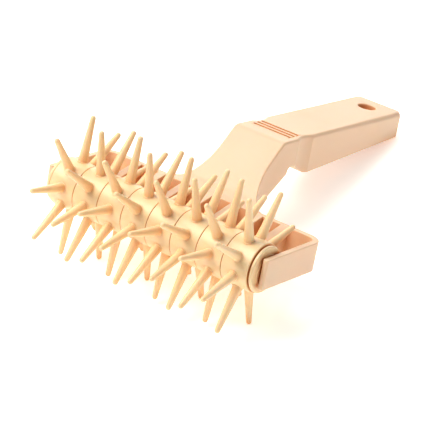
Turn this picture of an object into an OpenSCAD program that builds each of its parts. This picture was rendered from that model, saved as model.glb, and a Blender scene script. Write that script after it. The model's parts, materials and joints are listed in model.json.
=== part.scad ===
// Roller docker: a yoke with a cranked handle carries an axle with a row of
// spiked rings that prick rolled-out dough.
// The tool's own axes: X along the axle, Y towards the end of the handle and Z up,
// with the arms level and zero at the middle of the axle. Each sub-part is then laid
// down on the table, as the tool rests: on its lowest spikes and the end of the grip.

/* [Rings] */
// Number of spiked rings on the axle
ring_count = 8; // [4:1:10]
// Width of one ring along the axle
ring_w = 14; // [11:0.5:18]
// Diameter of the ring's barrel, without its spikes
barrel_d = 23.4; // [20:0.2:30]
// Wall of the barrel
barrel_wall = 2; // [1.5:0.1:3]
// Thickness of the web between barrel and hub
web_t = 2.4; // [1.5:0.1:4]
// Diameter of the hub around the square hole
hub_d = 13; // [12:0.5:15]
// Bevel on the ends of the barrel
barrel_bevel = 0.35; // [0.1:0.05:0.8]

/* [Spikes] */
// Number of spikes around one ring
spike_count = 8; // [4:4:8]
// Diameter of the circle that the spikes' tips run on
tip_circle_d = 67.6; // [56:0.2:84]
// Diameter of a spike at the barrel
spike_root_d = 4.8; // [3:0.1:5.8]
// Diameter of the round tip
spike_tip_d = 2.5; // [1.5:0.1:3]

/* [Axle] */
// Side of the square that the rings sit on
axle_side = 6; // [5:0.1:7.2]
// Diameter of the round journals at its ends
journal_d = 6; // [4.5:0.1:7.2]
// Length of a journal inside the arm
journal_in_arm = 1.9; // [1.5:0.1:3]
// Gap around the square in the rings, which lets each ring turn a few degrees
ring_slack = 0.3; // [0.28:0.02:0.4]
// Gap around the square in the end discs
disc_slack = 0.05; // [0.02:0.01:0.1]
// Gap around a journal in its socket
journal_slack = 0.06; // [0.02:0.01:0.1]
// Gap past the journal's end
journal_end_gap = 0.3; // [0.2:0.1:0.6]

/* [End discs] */
// Diameter of the disc
disc_d = 21.8; // [18:0.2:23]
// Thickness of the disc
disc_t = 1.9; // [1.2:0.1:3]
// Diameter of the boss that runs against the arm
boss_d = 15; // [11:0.5:17]
// Height of the boss
boss_h = 0.4; // [0.3:0.1:1]
// Gap between the last ring and the disc
ring_end_gap = 0.3; // [0.2:0.05:0.5]
// Gap between the boss and the arm
arm_gap = 0.4; // [0.3:0.05:0.6]

/* [Yoke] */
// Thickness of each arm
arm_t = 3; // [2.8:0.1:4.5]
// Height of the arms and of the cross wall
arm_h = 14.2; // [12:0.2:18]
// How far the arms reach past the axle
arm_nose = 6.2; // [5.4:0.2:9]
// Thickness of the cross wall
wall_t = 2.9; // [2.2:0.1:4]
// Gap between the tips and the cross wall
tip_gap = 1.9; // [1:0.1:4]
// Outer corner radius where arm and wall meet
yoke_corner_r = 6.5; // [5:0.5:9]
// Radius on the arm's lower rear corner
heel_r = 2.6; // [1:0.1:4]
// Thickness of the fingers that stand between the rings' spikes
finger_t = 4.2; // [2:0.1:5]
// Gap between a finger's end and the barrel
finger_gap = 2.6; // [1.5:0.1:5]
// Height of a finger at its free end
finger_end_h = 4.4; // [3:0.2:8]
// Width of the small upright on the inside of each arm
upright_w = 1.6; // [1:0.1:3]
// How far the upright stands in front of the cross wall
upright_gap = 4.8; // [3:0.1:8]

/* [Neck] */
// Width of the neck
neck_w = 28.8; // [24:0.2:36]
// Distance from the cross wall back to the crest of the neck
crest_run = 30.3; // [24:0.1:38]
// Height of the crest above the axle
crest_h = 31.1; // [24:0.1:40]
// Distance from the cross wall to the foot of the neck's front slope
foot_run = 4.4; // [3:0.1:8]
// Distance from the cross wall to the lower edge of the neck
heel_run = 5; // [3:0.1:8]
// Radius of the hollow between cross wall and front slope
foot_r = 9; // [4:0.5:14]
// How far the neck spreads on each side at its foot
foot_spread = 13; // [6:0.5:15]
// Distance from the cross wall to where that curve starts
flare_run = 21.4; // [16:0.1:26]

/* [Grip] */
// Width of the grip
grip_w = 28.4; // [24:0.2:36]
// Length of the grip behind its shoulders
grip_len = 84; // [70:1:110]
// Distance from the crest back to the shoulders
shoulder_run = 25.7; // [20:0.1:34]
// Depth of the grip at its front
grip_front_h = 18.9; // [15:0.1:24]
// Depth of the grip at its end
grip_rear_h = 12.7; // [10:0.1:20]
// Fall of the top from crest to end, in degrees
top_fall = 1.6; // [0:0.1:4]
// Corner radius at the end of the grip
grip_corner_r = 4; // [2:0.5:8]
// Depth of the finger waist in each side
waist_depth = 1.8; // [0.5:0.1:2.4]
// Radius of the finger waist
waist_r = 13.8; // [10:0.2:20]
// Distance from the shoulders to the top of the notch below the neck
notch_run = 16.2; // [13:0.1:19]
// Depth of the roof over the notch
notch_roof = 13.3; // [10:0.1:16]
// Radius at the top of the notch
notch_r = 2.3; // [1.5:0.1:3]

/* [Walls and stiffeners] */
// Top skin of the neck and the grip
skin_t = 2.6; // [2:0.1:4]
// Side walls of the neck and the grip
side_t = 2.5; // [1.8:0.1:4]
// Thickness of the stiffeners below the skin
stiffener_t = 2; // [1.2:0.1:3]
// How far the stiffeners stay above the lower edge
stiffener_short = 1.5; // [0.5:0.1:4]
// Number of pockets along the grip
pocket_rows = 4; // [2:1:6]

/* [Hang hole] */
// Diameter of the hole
hang_d = 9; // [5:0.5:12]
// Distance from the end of the grip to the middle of the hole
hang_from_end = 13.4; // [11:0.2:20]
// Wall of the tube around the hole
hang_wall = 2.2; // [1.5:0.1:3]

/* [Thumb pad] */
// Number of grooves across the top
groove_count = 3; // [1:1:4]
// Distance from groove to groove
groove_pitch = 3.35; // [2.8:0.05:4]
// Width of a groove
groove_w = 1.2; // [0.6:0.1:1.6]
// Depth of a groove
groove_depth = 1.3; // [0.5:0.1:1.5]
// Length of the grooves
groove_len = 21.6; // [14:0.2:23]
// Distance from the crest to the first groove
groove_run = 9.6; // [7:0.1:14]
// Height of the beads between the grooves
bead_h = 0.45; // [0.2:0.05:0.8]
// Width of the beads
bead_w = 1.7; // [1.2:0.1:2]

/* [Hidden] */
arc_steps = 8;
plan_steps = 14;
round_fn = 96;
small_fn = 48;
cut = 1;   // how far a cutter runs past the face that it cuts

// Degrees that each ring has turned within its slack, from left to right
ring_play = [0, -3, 1, -2, -1, 5, 0, 2];

// Roller
tip_r = tip_circle_d / 2;
barrel_r = barrel_d / 2;
spike_step = 360 / spike_count;
stack_half = ring_count * ring_w / 2;
disc_in = stack_half + ring_end_gap;
disc_out = disc_in + disc_t;
boss_out = disc_out + boss_h;
journal_end = boss_out + arm_gap + journal_in_arm;

// Yoke
arm_in = boss_out + arm_gap;
arm_out = arm_in + arm_t;
wall_in = tip_r + tip_gap;
wall_out = wall_in + wall_t;
inner_corner_r = yoke_corner_r - arm_t;

// Handle, seen from the side
crest = [wall_out + crest_run, crest_h];
shoulder_y = crest.x + shoulder_run;
end_y = shoulder_y + grip_len;
grip_lip = [shoulder_y - 2.6, top_at(shoulder_y) - grip_front_h];
notch_mid = [shoulder_y - notch_run, top_at(shoulder_y - notch_run) - notch_roof - notch_r];
notch_left = notch_mid.x - notch_r;
notch_foot = [notch_left - 0.8, notch_mid.y - 1];
grip_heel = [end_y - 0.8, top_at(end_y) - grip_rear_h];
slope_foot = [wall_out + foot_run, arm_h / 2];
heel_foot = [wall_out + heel_run, -arm_h / 2];
slope_in = skin_t / norm(crest - slope_foot) * [crest.y - slope_foot.y, slope_foot.x - crest.x];
hang_y = end_y - hang_from_end;

// The tool lies on the tips at the bottom of the rings and on the grip's lower end
lie_angle = atan2(grip_heel.y, grip_heel.x) + asin(tip_r / norm(grip_heel));
end_reach = end_y * cos(lie_angle) + top_at(end_y) * sin(lie_angle);
axle_y = -(end_reach - tip_r) / 2;

// Height of the handle's top at a distance y from the axle
function top_at(y) = crest_h - (y - crest.x) * tan(top_fall);

function unit(v) = v / norm(v);

// An arc of radius r that rounds the corner at b between a and c
function corner(a, b, c, r) =
    let (to_a = unit(a - b),
         to_c = unit(c - b),
         half = acos(to_a * to_c) / 2,
         mid = b + unit(to_a + to_c) * r / sin(half),
         first = b + to_a * r / tan(half) - mid,
         last = b + to_c * r / tan(half) - mid,
         start = atan2(first.y, first.x),
         sweep = (atan2(last.y, last.x) - start + 540) % 360 - 180)
    [for (i = [0 : arc_steps]) let (t = start + sweep * i / arc_steps) mid + r * [cos(t), sin(t)]];

// An outline from corners [x, y, radius]
function rounded(p) =
    let (n = len(p), xy = [for (q = p) [q[0], q[1]]])
    [for (i = [0 : n - 1])
        each p[i][2] == 0 ? [xy[i]] : corner(xy[(i + n - 1) % n], xy[i], xy[(i + 1) % n], p[i][2])];

// From the tool's own axes to the tool lying on the table
module lie() {
    translate([0, axle_y, tip_r]) rotate([-lie_angle, 0, 0]) children();
}

// From axes about the axle to the table, with the spikes of a ring at rest upright
module on_axle() {
    translate([0, axle_y, tip_r]) children();
}

// A side outline, drawn in Y and Z, carried over a width along X
module across(width) {
    rotate([90, 0, 90]) translate([0, 0, -width / 2]) linear_extrude(height = width) children();
}

// A plan outline, drawn in X and Y, carried over the full height
module upright(low, high) {
    translate([0, 0, low]) linear_extrude(height = high - low) children();
}

// ---- Frame: yoke, neck and grip in one moulding ----

module yoke_plan() {
    difference() {
        polygon(rounded([
            [-arm_out, -arm_nose, 1], [arm_out, -arm_nose, 1],
            [arm_out, wall_out, yoke_corner_r], [-arm_out, wall_out, yoke_corner_r]]));
        polygon(rounded([
            [-arm_in, -arm_nose - cut, 0], [arm_in, -arm_nose - cut, 0],
            [arm_in, wall_in, inner_corner_r], [-arm_in, wall_in, inner_corner_r]]));
    }
}

module yoke_side() {
    polygon(rounded([
        [-arm_nose, -arm_h / 2, 1], [wall_out, -arm_h / 2, heel_r],
        [wall_out, arm_h / 2, 0.6], [-arm_nose, arm_h / 2, 1]]));
}

// A finger that reaches from the cross wall between two rows of spikes
module finger() {
    across(finger_t) polygon(rounded([
        [wall_in + cut, -arm_h / 2, 0], [wall_in + cut, arm_h / 2, 0], [wall_in, arm_h / 2, 0],
        [barrel_r + finger_gap, finger_end_h / 2, 1.2], [barrel_r + finger_gap, -finger_end_h / 2, 1.2],
        [wall_in, -arm_h / 2, 0]]));
}

module yoke() {
    intersection() {
        upright(-arm_h, arm_h) yoke_plan();
        across(2 * arm_out + 2 * cut) yoke_side();
    }
    for (i = [1 : ring_count - 1])
        translate([i * ring_w - stack_half, 0, 0]) finger();
    for (side = [-1, 1])
        translate([side * arm_in, wall_in - upright_gap, -arm_h / 2 + 1])
            cylinder(d = upright_w, h = arm_h - 2, $fn = small_fn);
}

// Side outline of the neck and the grip
module handle_side() {
    polygon(rounded([
        [wall_in + cut, -arm_h / 2, 0], [heel_foot.x, heel_foot.y, 3],
        [notch_foot.x, notch_foot.y, 1.5],
        [notch_left, notch_mid.y + notch_r, notch_r],
        [notch_mid.x + notch_r, notch_mid.y + notch_r, notch_r],
        [grip_lip.x, grip_lip.y, 0.6],
        [grip_heel.x, grip_heel.y, 0],
        [end_y, top_at(end_y), 0],
        [crest.x, crest.y, 4],
        [slope_foot.x, slope_foot.y, foot_r],
        [wall_in + cut, arm_h / 2, 0]]));
}

// The right-hand side of the neck and the grip in plan, drawn in by a wall: the curve
// that spreads to the foot, the finger waist and the corner at the end of the grip
function handle_edge(inset) =
    let (neck_half = neck_w / 2 - inset,
         grip_half = grip_w / 2 - inset,
         spread_r = (flare_run * flare_run + foot_spread * foot_spread) / (2 * foot_spread),
         spread_mid = [neck_w / 2 + spread_r, wall_out + flare_run],
         spread_angle = asin(flare_run / (spread_r + inset)),
         waist_mid = [neck_w / 2 - waist_depth + waist_r,
                      shoulder_y - sqrt(waist_r * waist_r - pow(waist_r + (neck_w - grip_w) / 2 - waist_depth, 2))],
         first = acos((waist_mid.x - neck_half) / (waist_r + inset)),
         last = acos((waist_mid.x - grip_half) / (waist_r + inset)))
    concat(
        [[spread_mid.x - (spread_r + inset) * cos(spread_angle), wall_in + cut]],
        [for (i = [0 : plan_steps])
            let (t = spread_angle * (1 - i / plan_steps))
            spread_mid - (spread_r + inset) * [cos(t), sin(t)]],
        [for (i = [0 : plan_steps])
            let (t = -first + (first + last) * i / plan_steps)
            waist_mid + (waist_r + inset) * [-cos(t), sin(t)]],
        corner([grip_half, shoulder_y], [grip_half, end_y - inset], [0, end_y - inset],
               grip_corner_r - inset));

// Plan outline of the neck and the grip
module handle_plan(inset) {
    edge = handle_edge(inset);
    polygon(concat(edge, [for (i = [len(edge) - 1 : -1 : 0]) [-edge[i].x, edge[i].y]]));
}

// Room below the skin of the neck, open downwards
module neck_room_side() {
    polygon([
        [wall_out, -arm_h], [wall_out, top_slope_in(wall_out)],
        [crest.x, top_slope_in(crest.x) - 0.6], [crest.x + 1.6, top_at(crest.x) - skin_t],
        [shoulder_y - skin_t, top_at(shoulder_y) - skin_t],
        [shoulder_y - skin_t, grip_lip.y + 3.4], [notch_mid.x + 1.4, notch_mid.y + notch_r + skin_t],
        [notch_left, notch_mid.y + notch_r + skin_t - 0.4], [notch_left - skin_t - 0.6, notch_mid.y],
        [notch_left - skin_t - 0.6, notch_foot.y - 6], [heel_foot.x, -arm_h]]);
}

// Height of the inner face of the front slope's skin
function top_slope_in(y) =
    slope_foot.y + slope_in.y
    + (y - slope_foot.x - slope_in.x) * (crest.y - slope_foot.y) / (crest.x - slope_foot.x);

// Room below the skin of the grip, open downwards
module grip_room_side() {
    polygon([
        [shoulder_y, grip_lip.y - cut], [shoulder_y, top_at(shoulder_y) - skin_t],
        [end_y, top_at(end_y) - skin_t], [end_y, grip_lip.y - cut]]);
}

// Stiffeners that hang from the skin, down the middle and across the grip
module stiffeners() {
    room_len = end_y - side_t - shoulder_y;
    intersection() {
        across(neck_w) translate([0, stiffener_short]) handle_side();
        union() {
            translate([-stiffener_t / 2, wall_in, -arm_h])
                cube([stiffener_t, end_y - wall_in, arm_h + crest_h]);
            for (i = [1 : pocket_rows - 1])
                translate([-grip_w / 2, shoulder_y + i * room_len / pocket_rows - stiffener_t / 2, 0])
                    cube([grip_w, stiffener_t, crest_h]);
        }
    }
}

// The tube or the hole at the end of the grip, square to the top
module hang_rod(d, past) {
    translate([0, hang_y, top_at(hang_y)]) rotate([-top_fall, 0, 0])
        translate([0, 0, -grip_front_h]) cylinder(d = d, h = grip_front_h + past, $fn = round_fn);
}

module handle() {
    difference() {
        intersection() {
            across(2 * arm_out) handle_side();
            upright(-arm_h, crest_h + arm_h) handle_plan(0);
        }
        difference() {
            intersection() {
                upright(-arm_h, crest_h + arm_h) handle_plan(side_t);
                across(2 * arm_out) union() {
                    neck_room_side();
                    grip_room_side();
                }
            }
            stiffeners();
            intersection() {
                hang_rod(hang_d + 2 * hang_wall, -skin_t / 2);
                across(neck_w) handle_side();
            }
        }
        hang_rod(hang_d, cut);
    }
}

// A place on the top of the neck, counted back from the crest
module on_top(run) {
    translate([0, crest.x + run, top_at(crest.x + run)]) rotate([-top_fall, 0, 0]) children();
}

module beads() {
    bead_r = (bead_h * bead_h + bead_w * bead_w / 4) / (2 * bead_h);
    for (i = [0 : groove_count])
        on_top(groove_run + (i - 0.5) * groove_pitch)
            translate([-groove_len / 2, 0, bead_h - bead_r])
                rotate([0, 90, 0]) cylinder(r = bead_r, h = groove_len, $fn = small_fn);
}

module grooves() {
    for (i = [0 : groove_count - 1])
        on_top(groove_run + i * groove_pitch)
            translate([-groove_len / 2, -groove_w / 2, -groove_depth])
                cube([groove_len, groove_w, groove_depth + cut]);
}

module frame() {
    color("AntiqueWhite") lie() difference() {
        union() {
            yoke();
            handle();
            beads();
        }
        grooves();
        for (side = [-1, 1])
            rotate([0, side * 90, 0]) translate([0, 0, arm_in - cut])
                cylinder(d = journal_d + 2 * journal_slack,
                         h = journal_in_arm + journal_end_gap + cut, $fn = round_fn);
    }
}

// ---- Roller: axle, end discs and rings ----

// The rings' spikes stand this far to one side of the axle's flats, and every second
// ring is turned end for end, so the spikes of neighbours stand half a step apart
key_turn = spike_step / 4;

module square_rod(side, half_length) {
    rotate([key_turn, 0, 0]) cube([2 * half_length, side, side], center = true);
}

// The square rod, with a journal on each end and a core that joins them inside it
module axle() {
    core_r = axle_side / 2 - 0.5;
    color("Wheat") on_axle() {
        square_rod(axle_side, boss_out);
        rotate([0, 90, 0]) rotate_extrude($fn = round_fn) polygon([
            [0, -journal_end], [journal_d / 2, -journal_end], [journal_d / 2, -boss_out],
            [core_r, -boss_out], [core_r, boss_out],
            [journal_d / 2, boss_out], [journal_d / 2, journal_end], [0, journal_end]]);
    }
}

module end_disc(side) {
    rim = 0.7;
    color("Moccasin") on_axle() difference() {
        rotate([0, side * 90, 0]) rotate_extrude($fn = round_fn) polygon(rounded([
            [0, disc_in, 0], [disc_d / 2, disc_in, rim], [disc_d / 2, disc_out, rim],
            [boss_d / 2, disc_out, 0], [boss_d / 2, boss_out, 0], [0, boss_out, 0]]));
        square_rod(axle_side + 2 * disc_slack, boss_out + cut);
    }
}

// One spike along Z, from inside the barrel's wall to its round tip
module spike() {
    ball = spike_tip_d / 2;
    root = barrel_r - barrel_wall / 2;
    translate([0, 0, root]) cylinder(d1 = spike_root_d, d2 = spike_tip_d, h = tip_r - ball - root, $fn = small_fn);
    translate([0, 0, tip_r - ball]) sphere(r = ball, $fn = small_fn);
}

module ring_body() {
    half = ring_w / 2;
    bevel = barrel_bevel;
    bore = barrel_r - barrel_wall;
    rotate([0, 90, 0]) rotate_extrude($fn = round_fn) polygon([
        [0, -half], [hub_d / 2, -half], [hub_d / 2, -web_t / 2], [bore, -web_t / 2],
        [bore, -half], [barrel_r - bevel, -half], [barrel_r, bevel - half],
        [barrel_r, half - bevel], [barrel_r - bevel, half], [bore, half],
        [bore, web_t / 2], [hub_d / 2, web_t / 2], [hub_d / 2, half], [0, half]]);
}

module spiked_ring(number) {
    turned = number % 2 == 1 ? spike_step / 2 : 0;
    play = ring_play[(number - 1) % len(ring_play)];
    color("Bisque") on_axle()
        translate([(number - 0.5) * ring_w - stack_half, 0, 0]) rotate([play, 0, 0])
            difference() {
                union() {
                    ring_body();
                    for (i = [0 : spike_count - 1])
                        rotate([turned + i * spike_step, 0, 0]) spike();
                }
                square_rod(axle_side + 2 * ring_slack, ring_w);
            }
}

frame();
axle();
end_disc(-1);  // end_disc_left
end_disc(1);  // end_disc_right
for (number = [1 : ring_count])
    spiked_ring(number);
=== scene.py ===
import json
import math

import bmesh
import bpy
from mathutils import Matrix, Vector


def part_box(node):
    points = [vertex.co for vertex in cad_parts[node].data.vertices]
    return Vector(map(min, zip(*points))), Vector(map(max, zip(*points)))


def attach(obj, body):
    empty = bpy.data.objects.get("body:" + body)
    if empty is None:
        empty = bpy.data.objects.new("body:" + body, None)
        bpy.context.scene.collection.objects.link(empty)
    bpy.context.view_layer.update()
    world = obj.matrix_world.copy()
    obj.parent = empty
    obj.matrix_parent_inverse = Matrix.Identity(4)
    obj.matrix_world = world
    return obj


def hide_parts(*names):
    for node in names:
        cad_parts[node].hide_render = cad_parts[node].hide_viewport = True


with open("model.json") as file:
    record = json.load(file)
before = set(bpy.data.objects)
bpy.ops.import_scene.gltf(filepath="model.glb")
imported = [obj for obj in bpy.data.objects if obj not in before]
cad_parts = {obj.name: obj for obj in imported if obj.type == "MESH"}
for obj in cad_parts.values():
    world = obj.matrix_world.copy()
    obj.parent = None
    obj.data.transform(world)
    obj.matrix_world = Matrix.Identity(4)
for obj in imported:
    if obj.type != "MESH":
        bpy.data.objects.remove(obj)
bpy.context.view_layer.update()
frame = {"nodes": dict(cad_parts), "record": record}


# ---- Frame: yoke, neck and grip ----
# The yoke, neck and grip are one hollow polypropylene moulding, open below, with stiffeners
# inside. It is drawn here in millimetres, in the tool's own axes: X along the axle, Y towards
# the end of the grip and zero on the axle, and then turned down onto the table.

def deselect():
    if bpy.context.object and bpy.context.object.mode != "OBJECT":
        bpy.ops.object.mode_set(mode="OBJECT")
    bpy.ops.object.select_all(action="DESELECT")


def edit(piece):
    """Opens one piece in edit mode with nothing in it selected."""
    deselect()
    bpy.context.view_layer.objects.active = piece
    piece.select_set(True)
    bpy.ops.object.mode_set(mode="EDIT")
    bpy.ops.mesh.select_mode(type="EDGE")
    bpy.ops.mesh.select_all(action="DESELECT")


def settle(piece):
    """Makes one piece's place, turn and scale part of its mesh."""
    deselect()
    piece.select_set(True)
    bpy.context.view_layer.objects.active = piece
    bpy.ops.object.transform_apply(location=True, rotation=True, scale=True)


def corner_arc(before, corner, after, radius, steps=8):
    """Points that round the corner between its two neighbours."""
    to_before, to_after = (before - corner).normalized(), (after - corner).normalized()
    half = to_before.angle(to_after) / 2
    middle = corner + (to_before + to_after).normalized() * radius / math.sin(half)
    first = corner + to_before * radius / math.tan(half) - middle
    sweep = (corner + to_after * radius / math.tan(half) - middle).angle_signed(first)
    return [middle + Matrix.Rotation(sweep * i / steps, 2) @ first for i in range(steps + 1)]


def outline(corners):
    """A closed outline from corners (x, y, radius)."""
    places = [Vector(corner[:2]) for corner in corners]
    points = []
    for i, (before, place) in enumerate(zip([places[-1]] + places, places)):
        after, radius = places[(i + 1) % len(places)], corners[i][2]
        points += corner_arc(before, place, after, radius) if radius else [place]
    return points


def slab(name, points, low, high, across=False):
    """A block from an outline in plan, or in side view and then drawn out across X."""
    deselect()
    bpy.ops.mesh.primitive_circle_add(vertices=len(points), fill_type="NGON")
    block = bpy.context.object
    block.name = block.data.name = name
    for vertex, (a, b) in zip(block.data.vertices, points):
        vertex.co = (low, a, b) if across else (a, b, low)
    edit(block)
    bpy.ops.mesh.select_all(action="SELECT")
    shift = (high - low, 0, 0) if across else (0, 0, high - low)
    bpy.ops.mesh.extrude_region_move(TRANSFORM_OT_translate={"value": shift})
    bpy.ops.mesh.select_all(action="SELECT")
    bpy.ops.mesh.normals_make_consistent(inside=False)
    deselect()
    return block


def combine(piece, other, operation):
    """Joins, cuts or keeps what two solids share, and uses the second one up."""
    deselect()
    bpy.context.view_layer.objects.active = piece
    step = piece.modifiers.new("combine", "BOOLEAN")
    step.operation, step.object, step.solver = operation, other, "EXACT"
    bpy.ops.object.modifier_apply(modifier=step.name)
    bpy.data.objects.remove(other)
    return piece


def round_edges(piece, chosen, width, segments):
    """Rounds the edges that chosen(edge, normal of one side, normal of the other) picks."""
    edit(piece)
    mesh = bmesh.from_edit_mesh(piece.data)
    mesh.normal_update()
    for edge in mesh.edges:
        if len(edge.link_faces) == 2:
            edge.select = chosen(edge, *(face.normal for face in edge.link_faces))
    bmesh.update_edit_mesh(piece.data)
    bpy.ops.mesh.bevel(offset=width, segments=segments, profile=0.5, affect="EDGES")
    deselect()


def middle_of(edge):
    return (edge.verts[0].co + edge.verts[1].co) / 2


def turned(name, points, axis, steps):
    """A round solid that an outline sweeps once round an axis."""
    deselect()
    bpy.ops.mesh.primitive_circle_add(vertices=len(points), fill_type="NOTHING")
    piece = bpy.context.object
    piece.name = piece.data.name = name
    for vertex, point in zip(piece.data.vertices, points):
        vertex.co = point
    edit(piece)
    bpy.ops.mesh.select_all(action="SELECT")
    bpy.ops.mesh.spin(steps=steps, angle=2 * math.pi, center=(0, 0, 0), axis=axis)
    bpy.ops.mesh.select_all(action="SELECT")
    bpy.ops.mesh.remove_doubles(threshold=0.001)
    bpy.ops.mesh.select_all(action="SELECT")
    bpy.ops.mesh.normals_make_consistent(inside=False)
    deselect()
    return piece


# Places that the rest of the tool gives
axle_low, axle_high = (corner * 1000 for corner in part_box("axle"))
ring_low, ring_high = (corner * 1000 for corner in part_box("spiked_ring_1"))
frame_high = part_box("frame")[1] * 1000
hang_axis = Vector(frame["record"]["mounts"][0]["axis"])
rings = sorted(name for name in frame["nodes"] if name.startswith("spiked_ring_"))
axle_middle = (axle_low + axle_high) / 2
ring_w = ring_high.x - ring_low.x
stack_half = ring_w * len(rings) / 2
tip_r = axle_middle.z
barrel_r = 11.7
top_fall = math.radians(1.6)
far = 100
lie_angle = math.atan2(hang_axis.y, hang_axis.z) - top_fall

# Yoke
arm_out = frame_high.x
arm_in = arm_out - 3
arm_h = 14.2
arm_nose = 6.2
arm_rim_r = 0.5
wall_in = tip_r + 1.9
wall_out = wall_in + 2.9
finger_t = 4.2
finger_end = barrel_r + 2.6
finger_end_h = 4.4
upright_w = 1.6
upright_y = wall_in - 4.8
socket_r = 3.06
socket_depth = 2.2

# Neck and grip
neck_w = 28.8
grip_w = 28.4
grip_corner_r = 4
skin_t = 2.6
side_t = 2.5
foot_spread = 13
flare_run = 21.4
waist_depth = 1.8
waist_r = 13.8
crest = Vector((wall_out + 30.3, 31.1))
shoulder_y = crest.x + 25.7
end_y = shoulder_y + 84


def top_at(y):
    """The height of the straight top behind the crest."""
    return crest.y - (y - crest.x) * math.tan(top_fall)


lip = Vector((shoulder_y - 2.6, top_at(shoulder_y) - 18.9))
heel = Vector((end_y - 0.8, top_at(end_y) - 12.7))
notch_r = 2.3
notch = Vector((shoulder_y - 16.2, top_at(shoulder_y - 16.2) - 13.3 - notch_r))
flush = 0.02
slope_foot = Vector((wall_out + 4.4, arm_h / 2 + flush))
neck_heel = Vector((wall_out + 5, flush - arm_h / 2))

# The yoke: an outline in plan kept within an outline in side view
yoke = slab("yoke", outline([
    (-arm_out, -arm_nose, 1), (-arm_in, -arm_nose, 1), (-arm_in, wall_in, 3.5),
    (arm_in, wall_in, 3.5), (arm_in, -arm_nose, 1), (arm_out, -arm_nose, 1),
    (arm_out, wall_out, 6.5), (-arm_out, wall_out, 6.5)]), -arm_h, arm_h)
yoke_side = slab("yoke side", outline([
    (-2 * arm_nose, -arm_h / 2, 0), (wall_out, -arm_h / 2, 2.6),
    (wall_out, arm_h / 2, 0), (-2 * arm_nose, arm_h / 2, 0)]), -far, far, across=True)
combine(yoke, yoke_side, "INTERSECT")


def on_rim(edge, a, b):
    """The edges of the flat top, and of the underside of the arms up to the rounded heel."""
    flat = a if abs(a.z) > abs(b.z) else b
    return (abs(flat.z) > 0.99 and min(abs(a.z), abs(b.z)) < 0.05
            and (flat.z > 0 or middle_of(edge).y < wall_in - 4))


def on_finger(edge, a, b):
    """The edges along the sides of a finger, outside the wall."""
    return abs(a.x - b.x) > 0.9 and middle_of(edge).y < wall_in


round_edges(yoke, on_rim, arm_rim_r, 4)

# The fingers between the rows of spikes, with rounded edges, and an upright in each arm
finger_root_h = arm_h / 2 - 0.1
for i in range(1, len(rings)):
    middle = i * ring_w - stack_half
    finger = slab("finger", outline([
        (wall_in + 1, -finger_root_h, 0), (wall_in + 1, finger_root_h, 0),
        (wall_in, finger_root_h, 0), (finger_end, finger_end_h / 2, 1.2),
        (finger_end, -finger_end_h / 2, 1.2), (wall_in, -finger_root_h, 0)]),
        middle - finger_t / 2, middle + finger_t / 2, across=True)
    round_edges(finger, on_finger, 0.6, 3)
    combine(yoke, finger, "UNION")
for side in (-1, 1):
    deselect()
    bpy.ops.mesh.primitive_cylinder_add(
        vertices=24, radius=upright_w / 2, depth=arm_h - 2, location=(side * arm_in, upright_y, 0))
    combine(yoke, bpy.context.object, "UNION")


def handle_edge(inset, steps=16):
    """The right-hand side in plan, drawn in by a wall: foot curve, finger waist, rear corner."""
    neck, grip = neck_w / 2 - inset, grip_w / 2 - inset
    foot_r = (flare_run ** 2 + foot_spread ** 2) / (2 * foot_spread)
    foot = Vector((neck_w / 2 + foot_r, wall_out + flare_run))
    waist_x = neck_w / 2 - waist_depth + waist_r
    waist = Vector((waist_x, shoulder_y - math.sqrt(waist_r ** 2 - (waist_x - grip_w / 2) ** 2)))
    foot_r, bent_r = foot_r + inset, waist_r + inset
    widest = math.asin(flare_run / foot_r)
    first, last = -math.acos((waist.x - neck) / bent_r), math.acos((waist.x - grip) / bent_r)
    sweep = last - first
    edge = [Vector((foot.x - foot_r * math.cos(widest), wall_in + 1))]
    for i in range(steps + 1):
        turn = widest * (1 - i / steps)
        edge.append(foot - foot_r * Vector((math.cos(turn), math.sin(turn))))
    for i in range(steps + 1):
        turn = first + sweep * i / steps
        edge.append(waist + bent_r * Vector((-math.cos(turn), math.sin(turn))))
    before, corner = Vector((grip, shoulder_y)), Vector((grip, end_y - inset))
    return edge + corner_arc(before, corner, Vector((0, corner.y)), grip_corner_r - inset)


def handle_plan(inset):
    """Both sides in plan."""
    edge = handle_edge(inset)
    return edge + [Vector((-p.x, p.y)) for p in reversed(edge)]


def between(points, y):
    """The value at y on a line through points (value, y) with y rising."""
    for a, b in zip(points, points[1:]):
        if y <= b.y:
            return a.x + (b.x - a.x) * (y - a.y) / (b.y - a.y) if b.y > a.y else b.x
    return points[-1].x


# The handle's outside: one section after another from the cross wall to the end of the grip,
# each a box with two soft upper corners, which grow from radius 0.4 to 2.6 towards the end
top_line = [Vector((p.y, p.x)) for p in outline([
    (wall_in + 1, slope_foot.y, 0), (slope_foot.x, slope_foot.y, 9), (crest.x, crest.y, 4),
    (end_y, top_at(end_y), 1.6), (end_y + 0.01, 0, 0)])[:-1]]
corner_line = [Vector(p) for p in (
    (0.4, wall_in), (0.5, wall_out), (1.2, crest.x), (1.7, shoulder_y), (2.6, end_y))]
side_line = handle_edge(0)
stations = sorted({round(p.y, 3) for p in top_line + side_line})
stations = [y for i, y in enumerate(stations) if i == 0 or y - stations[i - 1] > 0.02]
depth = -20
quarter = [math.pi / 12 * i for i in range(7)]
rows = []
for y in stations:
    w, top, r = between(side_line, y), between(top_line, y), between(corner_line, y)
    right = [(w, depth)]
    right += [(w - r + r * math.cos(t), top - r + r * math.sin(t)) for t in quarter]
    rows.append([(0, y, depth)] + [(x, y, z) for x, z in right] + [(0, y, top)]
                + [(-x, y, z) for x, z in reversed(right)] + [(0, y, depth)])
deselect()
bpy.ops.mesh.primitive_grid_add(x_subdivisions=len(rows[0]) - 1, y_subdivisions=len(rows) - 1)
handle = bpy.context.object
handle.name = handle.data.name = "handle"
for vertex, place in zip(handle.data.vertices, (place for row in rows for place in row)):
    vertex.co = place
edit(handle)
bpy.ops.mesh.select_all(action="SELECT")
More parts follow.
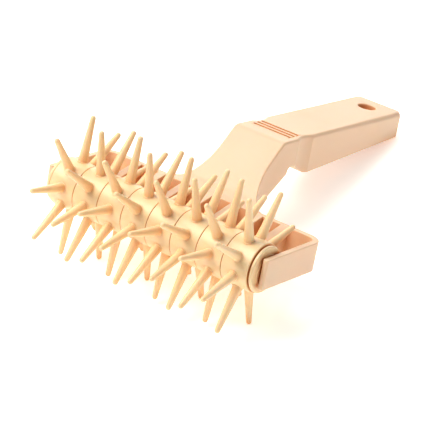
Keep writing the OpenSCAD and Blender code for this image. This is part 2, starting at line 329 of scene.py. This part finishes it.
bpy.ops.mesh.remove_doubles(threshold=0.001)
bpy.ops.mesh.select_all(action="SELECT")
bpy.ops.mesh.fill_holes(sides=0)
bpy.ops.mesh.select_all(action="SELECT")
bpy.ops.mesh.normals_make_consistent(inside=False)
deselect()

# Its underside, in side view
above = top_at(end_y) + 31.75
underside = slab("underside", outline([
    (wall_in, neck_heel.y, 0), (neck_heel.x, neck_heel.y, 3),
    (notch.x - notch_r - 0.8, notch.y - 1, 1.5),
    (notch.x - notch_r, notch.y + notch_r, notch_r),
    (notch.x + notch_r, notch.y + notch_r, notch_r),
    (lip.x, lip.y, 0.6), (heel.x, heel.y, 0), (end_y + 2, above, 0),
    (wall_in, above, 0)]), -far, far, across=True)
combine(handle, underside, "INTERSECT")

# The room inside, open below, less the stiffeners and the tube around the hang hole
slope_turn = (crest - slope_foot).normalized()
slope_in = slope_foot + skin_t * Vector((slope_turn.y, -slope_turn.x))


def slope_skin(y):
    """The height of the inside of the neck's slope."""
    return slope_in.y + (y - slope_in.x) * slope_turn.y / slope_turn.x


room_end = end_y - side_t
room = slab("room", handle_plan(side_t), -far, far)
neck_room = slab("neck room", [Vector(p) for p in (
    (wall_out, -arm_h), (wall_out, slope_skin(wall_out)),
    (crest.x, slope_skin(crest.x) - 0.6), (crest.x + 1.6, top_at(crest.x) - skin_t),
    (shoulder_y - skin_t, top_at(shoulder_y) - skin_t), (shoulder_y - skin_t, lip.y + 3.4),
    (notch.x + 1.4, notch.y + notch_r + skin_t),
    (notch.x - notch_r, notch.y + notch_r + skin_t - 0.4),
    (notch.x - notch_r - skin_t - 0.6, notch.y), (notch.x - notch_r - skin_t - 0.6, notch.y - 7),
    (neck_heel.x, -arm_h))], -neck_w, neck_w, across=True)
grip_room = slab("grip room", [Vector(p) for p in (
    (shoulder_y, lip.y - 9), (shoulder_y, top_at(shoulder_y) - skin_t),
    (end_y, top_at(end_y) - skin_t), (end_y, lip.y - 9))], -neck_w, neck_w, across=True)
combine(room, combine(neck_room, grip_room, "UNION"), "INTERSECT")


def upright_plate(low_x, high_x, low_y, high_y):
    deselect()
    middle = ((low_x + high_x) / 2, (low_y + high_y) / 2, 0)
    bpy.ops.mesh.primitive_cube_add(size=1, location=middle)
    plate = bpy.context.object
    plate.scale = (high_x - low_x, high_y - low_y, 2 * far)
    settle(plate)
    return plate


# One stiffener lengthwise and three across the grip stop short of the lower edge
stiffener_t = 2
lift = 1.5
stiffeners = upright_plate(-stiffener_t / 2, stiffener_t / 2, wall_in, end_y)
for i in (1, 2, 3):
    middle = shoulder_y + i * (room_end - shoulder_y) / 4
    across_grip = upright_plate(
        -grip_w / 2, grip_w / 2, middle - stiffener_t / 2, middle + stiffener_t / 2)
    combine(stiffeners, across_grip, "UNION")
lower_edge = slab("lower edge", outline([
    (wall_in, -arm_h / 2 + lift, 0), (neck_heel.x, neck_heel.y + lift, 3),
    (notch.x - notch_r - 0.8, notch.y + 0.5, 1.5),
    (notch.x - notch_r, notch.y + notch_r + lift, notch_r),
    (notch.x + notch_r, notch.y + notch_r + lift, notch_r), (lip.x, lip.y + lift, 0.6),
    (heel.x, heel.y + lift, 0), (end_y + 9, heel.y + lift, 0), (end_y + 9, 60, 0),
    (wall_in, 60, 0)]), -neck_w, neck_w, across=True)
combine(stiffeners, lower_edge, "INTERSECT")
combine(room, stiffeners, "DIFFERENCE")

# The hang hole, its tube and the soft lip around its mouth
hang_d = 9
hang_length = 18.9
hang_tube_t = 2.2
hang_lip = 0.7
hang_y = end_y - 13.4


def hang_rod(diameter, past):
    """A rod through the end of the grip, square to its top."""
    deselect()
    length = hang_length + past
    turn = Matrix.Rotation(-top_fall, 4, "X")
    place = Vector((0, hang_y, top_at(hang_y))) + turn @ Vector((0, 0, past - length / 2))
    bpy.ops.mesh.primitive_cylinder_add(
        vertices=64, radius=diameter / 2, depth=length, location=place, rotation=(-top_fall, 0, 0))
    rod = bpy.context.object
    settle(rod)
    return rod


combine(room, hang_rod(hang_d + 2 * hang_tube_t, -skin_t / 2), "DIFFERENCE")
combine(handle, room, "DIFFERENCE")
combine(handle, hang_rod(hang_d, 1), "DIFFERENCE")
mouth = [(0, 1), (hang_d / 2 + hang_lip, 1)]
mouth += [(hang_d / 2 + hang_lip * (1 - math.sin(t)), hang_lip * (math.cos(t) - 1))
          for t in quarter]
mouth.append((0, -hang_lip))
funnel = turned("funnel", [Vector((r, 0, z)) for r, z in mouth], (0, 0, 1), 64)
funnel.location = (0, hang_y, top_at(hang_y))
funnel.rotation_euler.x = -top_fall
settle(funnel)
combine(handle, funnel, "DIFFERENCE")

combine(yoke, handle, "UNION")
moulding = yoke
moulding.name = moulding.data.name = "moulded_frame"

# The thumb pad: four low beads with a groove between each two, square to the top
pad_start = crest.x + 9.6
groove_pitch = 3.35
groove_len = 21.6
groove_w, groove_depth = 1.7, 1.6
bead_h, bead_w = 0.25, 1.65
bead_r = (bead_h ** 2 + bead_w ** 2 / 4) / (2 * bead_h)


def on_top(run, rise):
    """A place that stands off the top, counted back from the first groove."""
    y = pad_start + run
    return Vector((0, y, top_at(y))) + Matrix.Rotation(-top_fall, 3, "X") @ Vector((0, 0, rise))


for i in range(4):
    deselect()
    bpy.ops.mesh.primitive_cylinder_add(
        vertices=64, radius=bead_r, depth=groove_len, rotation=(0, math.pi / 2, 0),
        location=on_top((i - 0.5) * groove_pitch, bead_h - bead_r))
    combine(moulding, bpy.context.object, "UNION")
for i in range(3):
    deselect()
    bpy.ops.mesh.primitive_cube_add(
        size=1, location=on_top(i * groove_pitch, 0), rotation=(-top_fall, 0, 0))
    groove = bpy.context.object
    groove.scale = (groove_len, groove_w, 2 * groove_depth)
    settle(groove)
    combine(moulding, groove, "DIFFERENCE")

# The journals' blind sockets in the arms
for side in (-1, 1):
    deselect()
    bpy.ops.mesh.primitive_cylinder_add(
        vertices=64, radius=socket_r, depth=2 * socket_depth, rotation=(0, math.pi / 2, 0),
        location=(side * arm_in, 0, 0))
    combine(moulding, bpy.context.object, "DIFFERENCE")


def finish_mesh(piece, turn=Matrix()):
    """From millimetres about the axle to the tool's place on the table, with smooth faces."""
    piece.matrix_world = Matrix.Translation(axle_middle / 1000) @ turn @ Matrix.Scale(0.001, 4)
    settle(piece)
    bpy.ops.object.shade_smooth_by_angle(angle=math.radians(30))
    step = piece.modifiers.new("flat faces stay flat", "WEIGHTED_NORMAL")
    step.keep_sharp = True
    bpy.ops.object.modifier_apply(modifier=step.name)
    deselect()


edit(moulding)
bpy.ops.mesh.select_all(action="SELECT")
bpy.ops.mesh.remove_doubles(threshold=0.002)
finish_mesh(moulding, Matrix.Rotation(-lie_angle, 4, "X"))


def linear(colour):
    """An sRGB hex colour as linear light."""
    values = [int(colour[i:i + 2], 16) / 255 for i in (1, 3, 5)]
    return [v / 12.92 if v <= 0.04045 else ((v + 0.055) / 1.055) ** 2.4 for v in values] + [1]


def add_node(nodes, kind, settings=(), links=()):
    """Adds a node, sets its values and inputs by name, and links inputs from sockets."""
    node = nodes.new(kind)
    for name, value in dict(settings).items():
        if name in node.inputs:
            node.inputs[name].default_value = value
        else:
            setattr(node, name, value)
    for name, socket in dict(links).items():
        node.id_data.links.new(socket, node.inputs[name])
    return node


def moulded_plastic(name, pale, deep, shade, glow_mm, roughness, grain_mm, grain_depth_mm):
    """A waxy plastic that lets some light in and gives it back warmer, with painted deep orange
    shade in its recesses.
    """
    material = bpy.data.materials.new(name)
    material.use_nodes = True
    nodes = material.node_tree.nodes
    nodes.clear()
    place = add_node(nodes, "ShaderNodeTexCoord").outputs["Object"]
    # Flow of the melt: broad, faint clouds about 30 mm long
    flow = add_node(nodes, "ShaderNodeTexNoise", {"Scale": 1 / 0.030, "Detail": 2.0},
                    {"Vector": place})
    tone = add_node(nodes, "ShaderNodeMix",
                    {"data_type": "RGBA", "A": linear(pale), "B": linear(deep)},
                    {"Factor": flow.outputs["Fac"]})
    # Painted shade: ambient occlusion finds the recesses, and their colour is mixed towards the
    # deep orange shade colour
    recess = add_node(nodes, "ShaderNodeAmbientOcclusion", {"samples": 8, "Distance": 0.012})
    painted_shade_mask = add_node(nodes, "ShaderNodeMapRange",
                      {"From Min": 0.1, "From Max": 0.8, "To Min": 1.0, "To Max": 0.0},
                      {"Value": recess.outputs["AO"]})
    body = add_node(nodes, "ShaderNodeMix", {"data_type": "RGBA", "B": linear(shade)},
                    {"Factor": painted_shade_mask.outputs["Result"], "A": tone.outputs["Result"]})
    # Skin of the mould: a fine satin grain
    grain = add_node(nodes, "ShaderNodeTexNoise", {"Scale": 1000 / grain_mm, "Detail": 3.0},
                     {"Vector": place})
    relief = add_node(nodes, "ShaderNodeBump",
                      {"Distance": grain_depth_mm / 1000, "Strength": 1.0},
                      {"Height": grain.outputs["Fac"]})
    gloss = add_node(nodes, "ShaderNodeMapRange",
                     {"To Min": roughness - 0.05, "To Max": roughness + 0.06},
                     {"Value": flow.outputs["Fac"]})
    skin = add_node(nodes, "ShaderNodeBsdfPrincipled",
                    {"IOR": 1.49, "Subsurface Weight": 0.3, "Subsurface Radius": glow_mm,
                     "Subsurface Scale": 0.001},
                    {"Base Color": body.outputs["Result"], "Roughness": gloss.outputs["Result"],
                     "Normal": relief.outputs["Normal"]})
    add_node(nodes, "ShaderNodeOutputMaterial", (), {"Surface": skin.outputs["BSDF"]})
    return material


# Polypropylene from a finely blasted mould: a soft satin sheen without sharp highlights
# The third colour is painted shade, mixed in deep orange into the frame's recesses
frame_skin = moulded_plastic(
    "cream polypropylene, satin", "#F2D9C0", "#EFD3B8", "#DF9C52",
    glow_mm=(2.2, 1.4, 0.8), roughness=0.42, grain_mm=0.35, grain_depth_mm=0.012)
moulding.data.materials.clear()
moulding.data.materials.append(frame_skin)
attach(moulding, "frame")
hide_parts("frame")


# ---- Spiked rings ----
# Eight polypropylene rings slide on the square axle, each moulded in one piece with a rim, a
# web, a hub and eight spikes. Every second one stands half a step ahead, and each has a few
# degrees of play on the square.

play = (0, -3, 1, -2, -1, 5, 0, 2)
spike_count = 8
ring_gap = 0.12
core_r = 2.5
hub_r = 6.5
web_t = 2.4
rim_r = barrel_r - 2
rim_edge = 0.35
spike_root_r = 2.4
spike_tip_r = 1.25
spike_root = barrel_r - 1
spike_flare = 0.4


half = (ring_w - ring_gap) / 2
ring = turned("ring", [Vector((p.x, 0, p.y)) for p in outline([
    (-half, core_r, 0), (half, core_r, 0), (half, hub_r, 0),
    (web_t / 2, hub_r, 0.4), (web_t / 2, rim_r, 0.4),
    (half, rim_r, 0), (half, barrel_r, rim_edge), (-half, barrel_r, rim_edge), (-half, rim_r, 0),
    (-web_t / 2, rim_r, 0.4), (-web_t / 2, hub_r, 0.4), (-half, hub_r, 0)])], (1, 0, 0), 96)

# A spike: a small root flare, a slim cone and a domed tip
ball = tip_r - spike_tip_r


def spike_r(height):
    """The cone's radius at a height above the axle."""
    return spike_root_r + (spike_tip_r - spike_root_r) * (height - spike_root) / (ball - spike_root)


flare_top = barrel_r + spike_flare
flare_r = spike_r(flare_top)
profile = [(0, spike_root), (flare_r + spike_flare, spike_root)]
for i in range(5):
    turn = math.pi / 2 * (1 - i / 4)
    profile.append((flare_r + spike_flare * (1 - math.cos(turn)),
                    flare_top - spike_flare * math.sin(turn)))
profile += [(spike_tip_r * math.cos(t), ball + spike_tip_r * math.sin(t)) for t in quarter]
spike_step = 360 / spike_count
for i in range(spike_count):
    spike = turned("spike", [Vector((r, 0, z)) for r, z in profile], (0, 0, 1), 24)
    spike.rotation_euler.x = math.radians(spike_step * i)
    settle(spike)
    combine(ring, spike, "UNION")


def square_cutter(side, length, place=0):
    """A rod that cuts the square hole, turned as the axle's square is."""
    deselect()
    bpy.ops.mesh.primitive_cube_add(size=1, location=(place, 0, 0))
    cutter = bpy.context.object
    cutter.scale = (length, side, side)
    cutter.rotation_euler.x = math.radians(spike_step / 4)
    settle(cutter)
    return cutter


# The same plastic from a polished mould: smoother and a little glossier than the frame
loose_square = 6.6
# The third colour is painted shade, mixed in deep orange into the recesses of the rings and discs
ring_skin = moulded_plastic(
    "cream polypropylene, smooth", "#FCE5C4", "#F9DDB6", "#E9A050",
    glow_mm=(2.2, 1.4, 0.8), roughness=0.33, grain_mm=0.5, grain_depth_mm=0.006)
for number, node in enumerate(rings, 1):
    copy = ring.copy()
    copy.data = ring.data.copy()
    copy.name = copy.data.name = f"ring_{number}"
    bpy.context.scene.collection.objects.link(copy)
    middle = (number - 0.5) * ring_w - stack_half
    copy.location.x = middle
    copy.rotation_euler.x = math.radians(spike_step / 2 * (number % 2))
    settle(copy)
    combine(copy, square_cutter(loose_square, ring_w + 2, middle), "DIFFERENCE")
    finish_mesh(copy, Matrix.Rotation(math.radians(play[number - 1]), 4, "X"))
    copy.data.materials.clear()
    copy.data.materials.append(ring_skin)
    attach(copy, "roller")
    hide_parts(node)
bpy.data.objects.remove(ring)


# ---- End discs ----
# A plain disc with a rounded rim closes each end of the roller, and its boss runs against
# the arm. Both are moulded in the rings' plastic and sit on the axle's square.

disc_t, boss_t = 1.9, 0.4
disc_r, boss_r = 10.9, 7.5
disc_edge_r = 0.7
tight_square = 6.1
inner = stack_half + 0.3
outer = inner + disc_t
boss_top = outer + boss_t
for side, node in ((-1, "end_disc_left"), (1, "end_disc_right")):
    disc = turned(node + "_piece", [Vector((side * p.x, 0, p.y)) for p in outline([
        (inner, core_r, 0), (inner, disc_r, disc_edge_r), (outer, disc_r, disc_edge_r),
        (outer, boss_r, 0.2), (boss_top, boss_r, 0.15), (boss_top, core_r, 0)])], (1, 0, 0), 96)
    combine(disc, square_cutter(tight_square, 2 * far), "DIFFERENCE")
    finish_mesh(disc)
    disc.data.materials.clear()
    disc.data.materials.append(ring_skin)
    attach(disc, "roller")
    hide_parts(node)


# ---- Axle ----
# A square rod of natural acetal with a round journal turned on each end. Its shape comes with
# the frame and is kept; only its finish is made here. Acetal machines to a smooth, waxy skin
# that is whiter and glossier than the mouldings.

# The third colour is painted shade, mixed into the axle's recesses
axle_skin = moulded_plastic(
    "natural acetal", "#F6EEDC", "#F1E7D2", "#E2BC8C",
    glow_mm=(2.0, 1.4, 0.9), roughness=0.3, grain_mm=0.6, grain_depth_mm=0.004)
axle = frame["nodes"]["axle"]
for slot in axle.material_slots:
    slot.material = axle_skin


# ---- Table, light and camera ----
# The tool lies on a sheet of opal acrylic in a bright tent. A soft key light stands to the
# left in front and above, a broad one behind gives the tops their sheen, and a weak one on
# the right opens the sides that face away from the key.

deselect()
bpy.ops.mesh.primitive_plane_add(size=6, location=(0, 0, 0))
table = bpy.context.object
table.name = "table"
opal = bpy.data.materials.new("opal acrylic, lit from below")
opal.use_nodes = True
sheet = opal.node_tree.nodes["Principled BSDF"]
sheet.inputs["Base Color"].default_value = linear("#FAFAFA")
sheet.inputs["Roughness"].default_value = 0.6
sheet.inputs["Emission Color"].default_value = linear("#FFFEFC")
sheet.inputs["Emission Strength"].default_value = 0.48
table.data.materials.append(opal)

world = bpy.data.worlds.new("tent")
bpy.context.scene.world = world
world.use_nodes = True
world.node_tree.nodes["Background"].inputs["Color"].default_value = linear("#FFFDFA")
world.node_tree.nodes["Background"].inputs["Strength"].default_value = 0.35


def softbox(name, place, width, height, watts, colour):
    """A soft rectangular light that faces the middle of the tool."""
    aim = Vector((0, 0, 0.02))
    lamp = bpy.data.lights.new(name, "AREA")
    lamp.shape, lamp.size, lamp.size_y = "RECTANGLE", width, height
    lamp.energy, lamp.color = watts, linear(colour)[:3]
    stand = bpy.data.objects.new(name, lamp)
    bpy.context.scene.collection.objects.link(stand)
    stand.location = place
    stand.rotation_euler = (aim - Vector(place)).to_track_quat("-Z", "Y").to_euler()


softbox("key", (-0.55, -0.35, 1.1), 0.8, 0.8, 14, "#FFFDFA")
softbox("side", (1.2, 0.2, 0.5), 0.8, 0.8, 1.6, "#FFFFFF")
softbox("back", (-0.6, 0.95, 0.6), 1.2, 1.1, 6, "#FFFFFF")

camera = bpy.data.cameras.new("camera")
camera.lens, camera.sensor_width = 178.03, 36
camera.clip_start, camera.clip_end = 0.05, 20
viewer = bpy.data.objects.new("camera", camera)
bpy.context.scene.collection.objects.link(viewer)
azimuth, elevation, roll = (math.radians(a) for a in (36.673, 33.945, 1.041))
look_at = Vector((0.018023, -0.056613, 0.037137))
distance = 0.94806
back = Vector((math.sin(azimuth) * math.cos(elevation),
               -math.cos(azimuth) * math.cos(elevation), math.sin(elevation)))
viewer.matrix_world = (Matrix.Translation(look_at + back * distance)
                       @ back.to_track_quat("Z", "Y").to_matrix().to_4x4()
                       @ Matrix.Rotation(roll, 4, "Z"))
bpy.context.scene.camera = viewer
bpy.context.scene.view_settings.view_transform = "Standard"
bpy.context.scene.view_settings.gamma = 0.72
